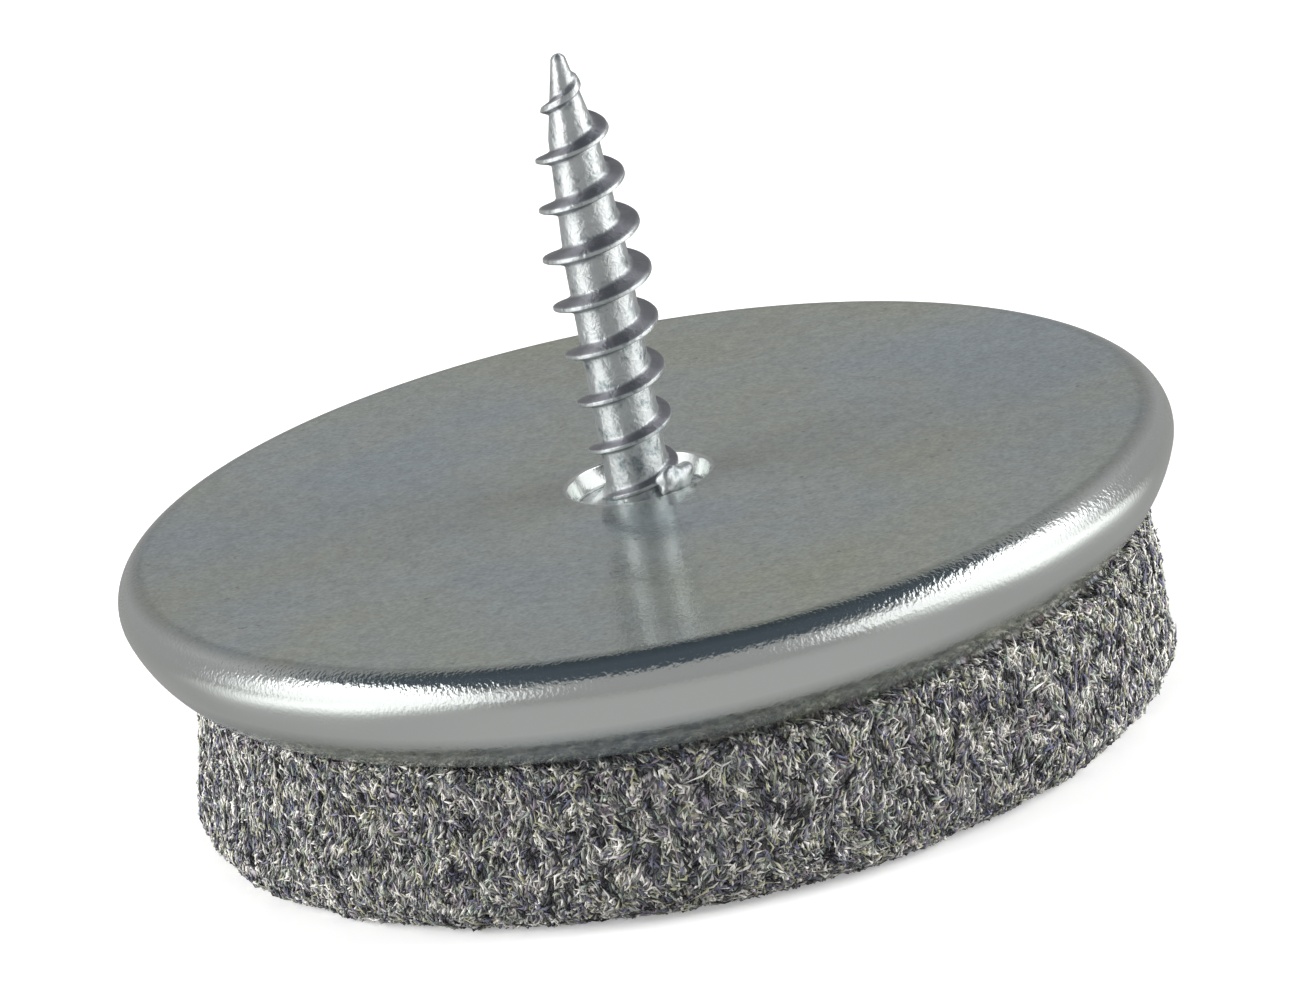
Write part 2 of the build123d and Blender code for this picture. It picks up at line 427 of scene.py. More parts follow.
def zinc_screw(screw):
    """Bright zinc on a rolled thread: a brighter mirror than the cup, dented and grainy from rolling.

    The rolling ran round the shank and draws every mirrored light out to a bright strip along it. The
    attribute dull is 1 on the thread's flanks, where the plating is rougher and its grey colour is painted
    shade.
    """
    material, add = new_material("bright_zinc_plated_rolled_steel")
    place = add("ShaderNodeTexCoord").outputs["Object"]
    dull = add("ShaderNodeAttribute", attribute_name="dull").outputs["Fac"]
    # Size in millimetres, detail, roughness and distortion of each pattern in the plating.
    cloud, dents, grain = (
        add("ShaderNodeTexNoise", {
            "Vector": place, "Scale": per_size(size), "Detail": detail, "Roughness": roughness,
            "Distortion": distortion})
        for size, detail, roughness, distortion in (
            (0.7, 4.0, 0.7, 0.0),  # clouds of dull plating
            (0.35, 3.0, 0.6, 0.4),  # dents from rolling
            (0.14, 2.0, 0.5, 0.0),  # grain of the plating, drawn a little coarser than real
        ))
    tint = add("ShaderNodeValToRGB", {"Fac": cloud}, [(0.32, screw.zinc_dull), (0.47, screw.zinc)])
    # Painted shade: the flanks take the darker flank colour. They are also a little rougher.
    shade = add("ShaderNodeMix", {0: dull, 6: tint, 7: (*screw.zinc_flank_shade, 1.0)}, data_type="RGBA")
    satin = add("ShaderNodeMapRange", {
        "Value": cloud, "From Min": 0.3, "From Max": 0.7, "To Min": 0.48, "To Max": 0.38})
    rough = add("ShaderNodeMath", {0: dull, 1: 0.06, 2: satin}, operation="MULTIPLY_ADD")
    dented = add("ShaderNodeBump", {"Strength": 0.9, "Distance": 0.06 * MM, "Height": dents})
    bump = add("ShaderNodeBump", {
        "Strength": 0.5, "Distance": 0.012 * MM, "Height": grain, "Normal": dented})
    around = add("ShaderNodeTangent", direction_type="RADIAL", axis="Z")
    surface = add("ShaderNodeBsdfPrincipled", {
        "Base Color": shade.outputs[2], "Metallic": 1.0, "Roughness": rough, "Anisotropic": 0.92,
        "Anisotropic Rotation": 0.25, "Tangent": around, "Normal": bump})
    add("ShaderNodeOutputMaterial", {"Surface": surface})
    return material


def felt_body(felt):
    """Needled wool felt: a mat of fibre ends without lustre, in a mix of greys with faint tints, painted
    dark between them as shade.
    """
    material, add = new_material("needled_grey_wool_felt")
    place = add("ShaderNodeTexCoord").outputs["Object"]
    # Wool is 0.03 mm thick. Its ends are drawn as tufts 0.24 mm wide and 0.6 mm tall, so that they show.
    upright = add("ShaderNodeMapping", {"Vector": place, "Scale": (1.0, 1.0, 0.4)})
    mat = add("ShaderNodeTexNoise", {
        "Vector": upright, "Scale": per_size(0.24), "Detail": 3.0, "Roughness": 0.7, "Distortion": 0.6})
    # Painted shade in part: the dark end of the ramp shows black wool and also darkens the gaps between
    # fibre ends.
    shade = add("ShaderNodeValToRGB", {"Fac": mat},
                [(0.34, felt.black), (0.48, felt.charcoal), (0.6, felt.grey), (0.76, felt.pale)])
    # Dyed wools lie in wisps 0.6 mm wide.
    wisps = add("ShaderNodeTexNoise", {"Vector": upright, "Scale": per_size(0.6), "Detail": 2.0})
    doubled = add("ShaderNodeVectorMath", {0: wisps.outputs["Color"], "Scale": 2.0}, operation="SCALE")
    tinted = add("ShaderNodeMix", {0: 0.3, 6: shade, 7: doubled}, data_type="RGBA", blend_type="MULTIPLY")
    bump = add("ShaderNodeBump", {"Strength": 0.6, "Distance": 0.1 * MM, "Height": mat})
    surface = add("ShaderNodeBsdfPrincipled", {
        "Base Color": tinted.outputs[2], "Roughness": 0.95, "Specular IOR Level": 0.1, "Normal": bump})
    add("ShaderNodeOutputMaterial", {"Surface": surface})
    return material


def felt_wool(felt):
    """Loose wool of the felt: each fibre has its own tone across the map, darkened as painted shade where it
    dives in.

    Each wool of the mix stands in the middle of its own equal part of the tone ramp.
    """
    material, add = new_material("mixed_grey_wool_fibres")
    chart = add("ShaderNodeUVMap", uv_map=BAKE_MAP)
    tone = add("ShaderNodeSeparateXYZ", {"Vector": chart})
    wools = [getattr(felt, wool) for wool in WOOL_SHARES]
    wool = add("ShaderNodeValToRGB", {"Fac": tone},
               [((number + 0.5) / len(wools), shade) for number, shade in enumerate(wools)])
    # Painted shade: each fibre's ends, where it dives into the felt, are darkened.
    dive = add("ShaderNodeValToRGB", {"Fac": tone.outputs[1]},
               [(0.0, (0.75,) * 3), (0.4, (1.0,) * 3), (0.75, (1.0,) * 3), (1.0, (0.85,) * 3)])
    shade = add("ShaderNodeMix", {0: 1.0, 6: wool, 7: dive}, data_type="RGBA", blend_type="MULTIPLY")
    surface = add("ShaderNodeBsdfPrincipled", {
        "Base Color": shade.outputs[2], "Roughness": 0.7, "Specular IOR Level": 0.25})
    add("ShaderNodeOutputMaterial", {"Surface": surface})
    return material


def rim_centres(cup):
    """Centres of the shoulder and of the curl in radius and height; the curl's lies back along the lean."""
    shoulder = np.array([CUP_HIGH.x - cup.shoulder, CUP_HIGH.z - cup.shoulder])
    back = cup.curl - cup.shoulder
    return shoulder, shoulder + back * np.array([-math.cos(cup.lean), math.sin(cup.lean)])


def cup_outline(cup):
    """Closed outline of the sheet, from the hole out along the underside, round the lip and over the top.

    Shoulder and curl are arcs about two centres, the inner ones smaller by the sheet; the sheared corners of
    the lip and the upper edge of the hole are small arcs, and the punch drew the hole to a shallow funnel.
    """
    shoulder, curl = rim_centres(cup)
    top = CUP_HIGH.z
    under = top - cup.sheet
    hole = cup.hole / 2
    drawn = hole + cup.punched
    worn = 0.1 * MM
    shear = 0.16 * MM
    out = np.array([math.cos(cup.lip), -math.sin(cup.lip)])
    on = np.array([out[1], -out[0]])
    inner = curl + (cup.curl - cup.sheet) * out + shear * (out - on)
    outer = curl + cup.curl * out - shear * (out + on)
    ends = (RIGHT * 2 - cup.lip, RIGHT * 3 - cup.lip, RIGHT * 4 - cup.lip)
    return np.concatenate([
        line((hole, under), (shoulder[0], under), 14),
        arc(shoulder, cup.shoulder - cup.sheet, RIGHT, -cup.lean, 10),
        arc(curl, cup.curl - cup.sheet, -cup.lean, shear / cup.curl - cup.lip, 16),
        arc(inner, shear, ends[0], ends[1], 5),
        arc(outer, shear, ends[1], ends[2], 5),
        arc(curl, cup.curl, shear / cup.curl - cup.lip, -cup.lean, 26),
        arc(shoulder, cup.shoulder, -cup.lean, RIGHT, 30),
        line((shoulder[0], top), (drawn + worn, top), 44),
        arc((drawn + worn, top - worn), worn, RIGHT, RIGHT * 1.75, 5),
        line((drawn, top - worn), (hole, under), 6),
    ])


def cup_surface(cup):
    """Outline turned about Z, then made uneven as a pressing is.

    The flat top rises and falls by a few microns in a sum of sine waves that fade out at the rim, and the
    radius swells by hundredths of a millimetre in waves round the rim.
    """
    columns = 252
    ripples = 14
    shortest, longest = 5.0, 16.0
    ripple_height = 0.0016 * MM
    swells = np.array([2, 3, 5])
    swell_heights = np.array([0.012, 0.008, 0.005]) * MM
    x, y, z = np.moveaxis(turned(cup_outline(cup), columns), -1, 0)
    radius = np.hypot(x, y)
    turn = np.arctan2(y, x)
    rng = np.random.default_rng(11)
    heading = rng.uniform(0, CIRCLE, ripples)
    number = CIRCLE / (rng.uniform(shortest, longest, ripples) * MM)
    phase = rng.uniform(0, CIRCLE, ripples)
    across = x[..., None] * np.cos(heading) + y[..., None] * np.sin(heading)
    ripple = np.sin(across * number + phase).sum(axis=-1) * ripple_height
    swell = (np.sin(turn[..., None] * swells + phase[:len(swells)]) * swell_heights).sum(axis=-1)
    flat = smooth_step(19.4 * MM, 16.5 * MM, radius)
    rim = smooth_step(10 * MM, 19 * MM, radius)
    grow = 1 + rim * swell / radius
    return np.stack([x * grow, y * grow, z + ripple * flat], axis=-1)


def burr_surface(screw):
    """Crumpled burr of metal that the thread raised at the right front of the neck.

    An ellipsoid, long round the screw, whose every point is pushed out or in by a few sine waves of its
    direction.
    """
    half_sizes = np.array([0.42, 0.95, 0.5]) * MM
    clear = 0.02 * MM
    folds = 9
    fold_height = 0.06
    way = directions(np.linspace(-RIGHT, RIGHT, 28), 40)[2]
    rng = np.random.default_rng(7)
    waves = rng.normal(0, 1, (folds, 3))
    waves *= rng.uniform(3, 7, (folds, 1)) / np.linalg.norm(waves, axis=1, keepdims=True)
    crumple = np.sin(way @ waves.T + rng.uniform(0, CIRCLE, folds)).sum(axis=-1)
    lump = way * (1 + fold_height * crumple)[..., None] * half_sizes
    out = np.array([math.cos(screw.burr_turn), math.sin(screw.burr_turn), 0])
    aside = np.array([-out[1], out[0], 0])
    up = np.array([0, 0, 1])
    foot = out * (screw.neck + clear) + up * (CUP_HIGH.z + screw.burr_rise)
    return foot + lump @ np.array([out, aside, up])


def screw_radius(screw, cup, height):
    """Radius of the bare screw at a height: the larger of core and neck cone, softly joined, then a ball.

    The soft larger of two is half their sum plus half the root of their difference squared plus a small
    square.
    """
    tip = SCREW_HIGH.z
    stations = [tip - screw.taper, tip - screw.point, tip - screw.tip]
    core = np.interp(height, stations, [screw.core, screw.core_point, screw.tip])
    under = CUP_HIGH.z - cup.sheet
    cone = screw.neck + (under - height) * (screw.neck - screw.core) / screw.neck_height
    soft = 0.12 * MM
    body = (core + cone + np.sqrt((core - cone) ** 2 + soft ** 2)) / 2
    ball = np.sqrt(np.maximum(screw.tip ** 2 - np.maximum(height - tip + screw.tip, 0) ** 2, 0))
    return np.where(height > tip - screw.tip, ball, np.where(height > tip - screw.taper, core, body))


def thread_surface(screw, cup, low, high):
    """Ridge carried along a right-hand helix round the bare screw, one pitch wide at every turn.

    Across the pitch the radius is the bare radius plus the ridge's height times a smooth step that falls
    from the crest's land to the ridge's foot, which rounds the crest and fillets the root. Towards the tip
    the ridge is blunter. Heights stop at a low and a high level, where the ridge has run out. The flanks are
    marked as dull, for their rougher plating and their painted shade, and the rows across the pitch crowd
    together at the crest.
    """
    half_rows = 17
    crowding = 1.7
    fade = 0.5 * MM
    spread = 1.3
    root = 0.03 * MM
    columns = SCREW_COLUMNS
    tip = SCREW_HIGH.z
    pitch = screw.pitch
    below = math.ceil((tip - screw.point - low) / pitch) + 1
    turns = below + math.ceil((high - tip + screw.point) / pitch) + 1
    index = np.arange(turns * columns + 1)
    middle = tip - screw.point + (index / columns - below) * pitch
    half = np.linspace(0, 1, half_rows) ** crowding * pitch / 2
    across = np.concatenate([-half[:0:-1], half])
    height = np.clip(middle[:, None] + across, low, high)
    bare = screw_radius(screw, cup, height)
    first = tip - screw.start
    stations = [CUP_HIGH.z - screw.runout, tip - screw.taper, tip - screw.point, first, first + fade]
    crests = [screw.crest_head, screw.crest, screw.crest_point, screw.crest_start, 0]
    ridge = np.maximum(np.interp(height, stations, crests) - bare, 0)
    blunt = screw.blunt * smooth_step(tip - screw.point, first, height)
    land = screw.land / 2 + blunt / 2
    foot = land + ridge * math.tan(screw.flank) * spread + root + blunt / 2
    part = (foot - np.abs(across)) / (foot - land)
    radius = bare + ridge * smooth_step(0, 1, part)
    flank = smooth_step(0, 0.25, part) * smooth_step(1.0, 0.8, part)
    # Flanks of a grown ridge are marked for painted shade and rougher plating.
    dull = flank * smooth_step(0.1 * MM, 0.25 * MM, ridge)
    points = about_z(radius, screw.turn + CIRCLE * index[:, None] / columns, height)
    wide = len(across)
    row, column = np.meshgrid(np.arange(turns * columns), np.arange(wide - 1), indexing="ij")
    corner = row * wide + column
    quads = np.stack([corner, corner + wide, corner + wide + 1, corner + 1], axis=-1).reshape(-1, 4)
    round_part = row % columns
    strip = row // columns
    u = np.stack([round_part, round_part + 1, round_part + 1, round_part], axis=-1) / columns
    over = np.stack([column, column, column + 1, column + 1], axis=-1) / (wide - 1)
    v = (strip[..., None] + over) / turns * THREAD_BAND
    return (points.reshape(-1, 3), quads, np.stack([u, v], axis=-1).reshape(-1, 4, 2)), dull


def head_outline(screw, cup, low):
    """Outline from the middle of the head's face out, up to its flat top, in to the neck and up its cone."""
    face = SCREW_LOW.z
    under = CUP_HIGH.z - cup.sheet
    worn = 0.12 * MM
    cone = np.linspace(under, low, 8)
    return np.concatenate([
        line((0, face), (screw.head - worn, face), 40),
        arc((screw.head - worn, face + worn), worn, -RIGHT, 0, 4),
        line((screw.head, face + worn), (screw.head, under), 3),
        line((screw.head, under), (screw_radius(screw, cup, under), under), 6),
        np.stack([screw_radius(screw, cup, cone), cone], axis=-1),
    ])


def head_surface(screw, cup, low):
    """Outline of the head turned about Z, with a cross sunk into its face.

    A point's depth is the smooth step of how far it lies inside either wing: half the wing's width less the
    distance from its middle line, and half its span less the distance along it, whichever is less.
    """
    x, y, z = np.moveaxis(turned(head_outline(screw, cup, low), SCREW_COLUMNS, screw.turn), -1, 0)
    inside = np.maximum(np.minimum(screw.wing - np.abs(x), screw.span - np.abs(y)),
                        np.minimum(screw.wing - np.abs(y), screw.span - np.abs(x)))
    touching = 0.001 * MM
    on_face = z < SCREW_LOW.z + touching
    depth = screw.recess * smooth_step(0, screw.slope, inside) * on_face
    return np.stack([x, y, z + depth], axis=-1)


def tip_surface(screw, cup, high):
    """Bare radius over the last of the point, turned about Z and closed at the top of the tip's ball."""
    tip = SCREW_HIGH.z
    ball = tip - screw.tip * (1 - np.sin(np.linspace(0, RIGHT, 8)))
    height = np.concatenate([np.linspace(high, tip - screw.tip, 4)[:-1], ball])
    return turned(np.stack([screw_radius(screw, cup, height), height], axis=-1), SCREW_COLUMNS, screw.turn)


def felt_outline(felt, cup, screw):
    """Outline of the pad from the middle of its underside, up its side, past the lip and in to its pocket.

    The side is the tangent of the lower edge and the bulge, so it leans by the angle of the line between
    their centres turned by that of the difference of their radii. The underside lies a little clear of the
    floor, which its fibres bridge.
    """
    shoulder, curl = rim_centres(cup)
    under = CUP_HIGH.z - cup.sheet
    floor = 0.08 * MM
    out_lip = np.array([math.cos(cup.lip), -math.sin(cup.lip)])
    lip = curl + cup.curl * out_lip
    ledge = lip[1] - felt.clearance / 2
    low = np.array([felt.diameter / 2 - felt.edge, floor + felt.edge])
    high = np.array([felt.neck / 2 - felt.bulge, ledge - felt.bulge])
    reach = high - low
    lean = math.atan2(reach[1], reach[0]) - math.acos((felt.edge - felt.bulge) / math.hypot(*reach))
    side = np.array([math.cos(lean), math.sin(lean)])
    shift = np.array([felt.clearance, 0])
    neck = curl - shift + (cup.curl - cup.sheet) * out_lip
    pocket = screw.head + felt.clearance
    return np.concatenate([
        line((0, floor), (low[0], floor), 40),
        arc(low, felt.edge, -RIGHT, lean, 16),
        line(low + felt.edge * side, high + felt.bulge * side, 30),
        arc(high, felt.bulge, lean, RIGHT, 10),
        line((high[0], ledge), neck, 6),
        arc(curl - shift, cup.curl - cup.sheet, -cup.lip, -cup.lean, 10),
        arc(shoulder - shift, cup.shoulder - cup.sheet, -cup.lean, RIGHT, 6),
        line((shoulder[0] - shift[0], under), (pocket, under), 6),
        line((pocket, under), (pocket, SCREW_LOW.z), 3),
        np.linspace((pocket, SCREW_LOW.z), (0, SCREW_LOW.z), 5),
    ])


class FeltSkin:
    """The felt's surface as a function of the length along its outline and the turn about Z.

    A point is the outline's point at that length, pushed along the outline's normal by the lumps and the
    tufts, then turned. Each of these is a random field, a sum of sine waves of every heading with whole
    numbers of them round the pad. They fade out underneath and inside the cup.
    """

    def __init__(self, felt, cup, screw):
        self.felt = felt
        self.outline = felt_outline(felt, cup, screw)
        self.along, self.normal = measured(self.outline)
        self.edge = self.along[np.argmax(self.outline[:, 1] > felt.edge)]
        high = rim_centres(cup)[1][1] - cup.curl * math.sin(cup.lip) - felt.clearance
        self.neck = self.along[np.argmax(self.outline[:, 1] > high)]
        self.fields = {name: self.field(*values) for name, values in FELT_FIELDS.items()}

    @staticmethod
    def field(seed, shortest, longest, stretch):
        """Waves of a random field: how many go round the pad, how fast they run upwards, phase and size."""
        rng = np.random.default_rng(seed)
        size = rng.uniform(shortest, longest, FIELD_WAVES) * MM
        heading = rng.uniform(0, CIRCLE, FIELD_WAVES)
        heights = rng.uniform(0.4, 1.0, FIELD_WAVES)
        phases = rng.uniform(0, CIRCLE, FIELD_WAVES)
        round_pad = np.round(FELT_GIRTH / size * np.sin(heading))
        upwards = CIRCLE / (size * stretch) * np.cos(heading)
        return round_pad, upwards, phases, heights / np.sqrt((heights ** 2).sum() / 2)

    def waves(self, name, along, turn):
        """A random field at a place: a sum of sine waves whose spread is about 1."""
        round_pad, upwards, phases, sizes = self.fields[name]
        waves = np.sin(turn[..., None] * round_pad + along[..., None] * upwards + phases)
        return (waves * sizes).sum(axis=-1)

    def softness(self, along):
        """How much of the lumps shows: all on the side, less underneath, none inside the cup."""
        least = 0.15
        below = least + (1 - least) * smooth_step(self.edge - 3.0 * MM, self.edge - 0.3 * MM, along)
        return below * smooth_step(self.neck + 0.5 * MM, self.neck, along)

    def frame_at(self, along):
        """Radius, height and normal of the outline at a length along it."""
        return [np.interp(along, self.along, values) for values in (*self.outline.T, *self.normal.T)]

    def points(self, along, turn, proud):
        """Points at a length and turn, proud of the lumpy surface by a height, with the top set askew."""
        radius, height, out, up = self.frame_at(along)
        lumps = self.waves("lumps", along, turn) * self.felt.lumps
        lumps += self.waves("tufts", along, turn) * self.felt.tufts
        push = (lumps - self.felt.pile) * self.softness(along) + proud
        points = about_z(radius + out * push, turn, np.maximum(height + up * push, 0))
        free = smooth_step(self.edge - 1.5 * MM, self.neck - 0.6 * MM, along)
        points[..., 0] += free * smooth_step(self.neck + 0.6 * MM, self.neck, along) * self.felt.askew
        return points


def felt_surface(skin):
    """The felt's skin on a grid, with a fine seeded roughness where fibres show."""
    columns = 640
    roughness = 0.03 * MM
    rng = np.random.default_rng(5)
    along, turn = np.meshgrid(skin.along, line(0, CIRCLE, columns), indexing="ij")
    rough = rng.normal(0, roughness, along.shape) * skin.softness(along)
    ends = (along > 0) & (along < skin.along[-1])
    return skin.points(along, turn, rough * ends)


def fibre_mesh(skin, along, turn, heading, bend, size, wide, lifts, tones):
    """Hairs laid on the felt, each of one three-cornered ring between two pointed ends.

    A fibre runs over the skin from its middle by half its length each way, turned by its heading, with its
    middle pushed aside by its bend. The ring stands across that path, and the lifts raise its three
    stations. Fibres keep off the axis and stop a little way past the neck.
    """
    first, last = 0.2 * MM, skin.neck + 0.3 * MM
    least_radius = 0.6 * MM
    tone_spread = 0.004
    count = len(along)
    part = np.array([-0.5, 0.0, 0.5])
    forward = size[:, None] * part
    sideways = (bend * size)[:, None] * (0.25 - part ** 2)
    up = forward * np.cos(heading)[:, None] - sideways * np.sin(heading)[:, None]
    over = forward * np.sin(heading)[:, None] + sideways * np.cos(heading)[:, None]
    places = np.clip(along[:, None] + up, first, last)
    radius, _, out, rise = skin.frame_at(places)
    turns = turn[:, None] + over / np.maximum(radius, least_radius)
    spine = skin.points(places, turns, lifts)
    normal = about_z(out, turns, rise)[:, 1]
    ahead = spine[:, 2] - spine[:, 0]
    ahead = ahead / np.maximum(np.linalg.norm(ahead, axis=-1, keepdims=True), 1e-9)
    half = wide[:, None] / 2
    side = np.cross(normal, ahead) * half
    tail, middle, nose = np.moveaxis(spine, 1, 0)
    points = np.stack([tail, middle - side, middle + normal * half, middle + side, nose], axis=1)
    points[..., 2] = np.maximum(points[..., 2], 0)
    faces = np.array([(1, 2, 0), (2, 3, 0), (3, 1, 0), (2, 1, 4), (3, 2, 4), (1, 3, 4)])
    faces = (faces + 5 * np.arange(count)[:, None, None]).reshape(-1, 3)
    u = np.clip(tones[:, None] + np.array([0, -1, 0, 1, 0]) * tone_spread, 0.001, 0.999)
    v = np.tile(np.array([0.0, 0.5, 0.5, 0.5, 1.0]), (count, 1))
    chart = np.stack([u, v], axis=-1).reshape(-1, 2)
    return points.reshape(-1, 3), faces, chart[faces]


def wool_tones(rng, drift):
    """Tone of each fibre: the wools stand in shares of the mix, and a drift makes neighbours alike."""
    alike, chance, spread = 0.52, 0.85, 0.3
    draw = alike * drift + chance * rng.normal(0, 1, len(drift))
    rank = np.argsort(np.argsort(draw)) / len(drift)
    wool = np.searchsorted(np.cumsum(list(WOOL_SHARES.values()))[:-1], rank)
    return (wool + 0.5 + rng.normal(0, spread, len(drift))) / len(WOOL_SHARES)


def side_fibres(felt, skin, rng, first):
    """Wool on half of the felt's side, from a first turn on: in layers, most of it upright, in swirls.

    A few fibres stand off, more of them along the lip, and a few long white ones lie on top. Lifts and
    widths are in millimetres up to the last line.
    """
    upright_share, bold_share = 0.6, 0.007
    loose_share, loose_at_lip = 0.004, 0.2
    swirl, lean, bold_lean = 0.4, 0.35, 0.25
    dive, uneven = 0.04, 0.015
    count = felt.fibres // 2
    along = rng.uniform(skin.edge - 2.6 * MM, skin.neck + 0.15 * MM, count)
    turn = first + rng.uniform(0, np.pi, count)
    upright = rng.random(count) < upright_share
    heading = swirl * skin.waves("swirls", along, turn)
    heading += np.where(upright, rng.normal(0, lean, count), rng.uniform(-np.pi, np.pi, count))
    layer = rng.uniform(-0.04, 0.1, count)[:, None]
    lifts = layer + np.array([-dive, 0.0, -dive]) + rng.normal(0, uneven, (count, 3))
    at_lip = smooth_step(skin.neck - 0.5 * MM, skin.neck, along)
    loose = rng.random(count) < loose_share + loose_at_lip * at_lip
    lifts[:, 2] += loose * rng.uniform(0.1, 0.3, count)
    size = felt.fibre * rng.lognormal(0, 0.4, count)
    wide = rng.uniform(0.05, 0.15, count)
    tones = wool_tones(rng, skin.waves("tones", along, turn))
    bold = rng.random(count) < bold_share
    size[bold] = rng.uniform(0.8, 1.4, bold.sum()) * MM
    wide[bold] = rng.uniform(0.08, 0.13, bold.sum())
    tones[bold] = rng.uniform(0.86, 0.98, bold.sum())
    heading[bold] = rng.normal(0, bold_lean, bold.sum())
    bend = rng.normal(0, 0.9, count)
    return fibre_mesh(skin, along, turn, heading, bend, size, wide * MM, lifts * MM, tones)


def floor_fibres(felt, skin, rng):
    """Wool on the felt's underside, pressed flat, lying every way."""
    dive = 0.05
    count = felt.fibres_below
    along = np.sqrt(rng.random(count)) * skin.edge
    turn = rng.uniform(0, CIRCLE, count)
    lifts = np.tile(np.array([-dive, 0.0, -dive]), (count, 1)) * MM
    tones = wool_tones(rng, skin.waves("tones", along, turn))
    heading = rng.uniform(-np.pi, np.pi, count)
    bend = rng.normal(0, 0.9, count)
    size = felt.fibre * rng.lognormal(0.1, 0.35, count)
    wide = rng.uniform(0.05, 0.13, count) * MM
    return fibre_mesh(skin, along, turn, heading, bend, size, wide, lifts, tones)


class GLIDE_OT_cup(bpy.types.Operator):
    """Makes the pressed cup of zinc-plated sheet, with its shoulder, curled rim and punched hole"""

    bl_idname = "glide.cup"
    bl_label = "Pressed cup"

    def execute(self, context):
        cup = context.scene.glide_cup
        points = cup_surface(cup)
        levels = measured(cup_outline(cup))[0]
        seam = 0.2 * MM
        grid = ring_faces(points, levels / (levels[-1] + seam), close=True)
        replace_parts(make_piece("cup", [grid], zinc_sheet(cup)), "steel_cup")
        return {"FINISHED"}


class GLIDE_OT_screw(bpy.types.Operator):
    """Makes the wood screw, with its helical thread, point, neck and flat head"""

    bl_idname = "glide.screw"
    bl_label = "Wood screw"

    def execute(self, context):
        screw = context.scene.glide_screw
        cup = context.scene.glide_cup
        # The ridge's grid reaches from just below its run-out to just below the tip.
        low = CUP_HIGH.z - screw.runout - 0.06 * MM
        high = SCREW_HIGH.z - 0.4 * MM
        thread, flanks = thread_surface(screw, cup, low, high)
        head = head_surface(screw, cup, low)
        tip = tip_surface(screw, cup, high)
        parts = [
            thread,
            ring_faces(head, np.linspace(*HEAD_BAND, len(head))),
            ring_faces(tip, np.linspace(*TIP_BAND, len(tip))),
        ]
        bright = np.zeros(sum(len(part[0]) for part in parts[1:]))
        dull = np.concatenate([flanks.ravel(), bright])
        zinc = zinc_screw(screw)
        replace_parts(make_piece("screw", parts, zinc, dull=dull), "wood_screw")
        burr = burr_surface(screw)
        make_piece("neck_burr", [ring_faces(burr, np.linspace(0, 1, len(burr)))], zinc)
        return {"FINISHED"}


class GLIDE_OT_felt(bpy.types.Operator):
    """Makes the felt pad that fills the cup and bulges out below its lip"""

    bl_idname = "glide.felt"
    bl_label = "Felt pad"

    def execute(self, context):
        scene = context.scene
        skin = FeltSkin(scene.glide_felt, scene.glide_cup, scene.glide_screw)
        grid = ring_faces(felt_surface(skin), skin.along / skin.along[-1])
        piece = make_piece("felt", [grid], felt_body(scene.glide_felt))
        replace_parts(piece, "felt_pad")
        return {"FINISHED"}


class GLIDE_OT_fibres(bpy.types.Operator):
    """Lays the loose wool on the felt's side and underside"""

    bl_idname = "glide.fibres"
    bl_label = "Wool fibres"

    def execute(self, context):
        scene = context.scene
        felt = scene.glide_felt
        skin = FeltSkin(felt, scene.glide_cup, scene.glide_screw)
        wool = felt_wool(felt)
        rng = np.random.default_rng(41)
        pieces = {
            "felt_front_fibres": side_fibres(felt, skin, rng, np.pi),
            "felt_back_fibres": side_fibres(felt, skin, rng, 0.0),
            "felt_floor_fibres": floor_fibres(felt, skin, rng),
        }
        for name, strands in pieces.items():
            make_piece(name, [strands], wool, weld=False)
        return {"FINISHED"}


def stage_sheet(name, points, faces, material, glows=None):
    """A sheet of the stage. One that has a glowing colour at each of its points is a reflector.

    A reflector is hidden from all but mirror rays, so that it neither lights nor shades the object.
    """
    mesh = bpy.data.meshes.new(name)
    mesh.from_pydata(points.tolist(), [], faces.tolist())
    mesh.materials.append(material)
    sheet = bpy.data.objects.new(name, mesh)
    if glows is not None:
        colours = np.concatenate([glows, np.ones((len(glows), 1))], axis=1)
        mesh.attributes.new("glow", "FLOAT_COLOR", "POINT").data.foreach_set("color", colours.ravel())
        sheet.visible_camera = False
        sheet.visible_diffuse = False
        sheet.visible_shadow = False
        sheet.visible_volume_scatter = False
    bpy.context.collection.objects.link(sheet)


def seen_rays(add):
    """1 for a ray that sees, from the camera, a mirror or glass, and 0 for one that only lights."""
    path = add("ShaderNodeLightPath").outputs
    seen = add("ShaderNodeMath", {0: path["Is Camera Ray"], 1: path["Is Glossy Ray"]}, operation="MAXIMUM")
    return add("ShaderNodeMath", {0: seen, 1: path["Is Transmission Ray"]}, operation="MAXIMUM")


def table_white(stage):
    """White table card: it takes the shadow, and is topped up to white where a camera or mirror sees it."""
    material, add = new_material("matt_white_table_card")
    top_up = add("ShaderNodeMath", {0: seen_rays(add), 1: stage.top_up}, operation="MULTIPLY")
    card = add("ShaderNodeBsdfDiffuse", {"Color": (*stage.floor, 1.0)})
    lit = add("ShaderNodeEmission", {"Strength": top_up})
    both = add("ShaderNodeAddShader", {0: card, 1: lit})
    add("ShaderNodeOutputMaterial", {"Surface": both})
    return material


def reflector():
    """Studio reflector that only metal sees, in the colour of its own glow."""
    material, add = new_material("studio_reflector")
    glow = add("ShaderNodeAttribute", attribute_name="glow")
    lit = add("ShaderNodeEmission", {"Color": glow.outputs["Color"]})
    add("ShaderNodeOutputMaterial", {"Surface": lit})
    material.cycles.emission_sampling = "NONE"
    return material


def facing(turn, soft, *windows):
    """1 within a window of directions about Z, and 0 beyond it by a soft edge.

    A window is its middle and half its width, in degrees, and the largest of several counts.
    """
    shares = []
    for middle, half in windows:
        apart = np.abs((np.degrees(turn) - middle + 180) % 360 - 180)
        shares.append(smooth_step(half + soft, half - soft, apart))
    return np.max(shares, axis=0)


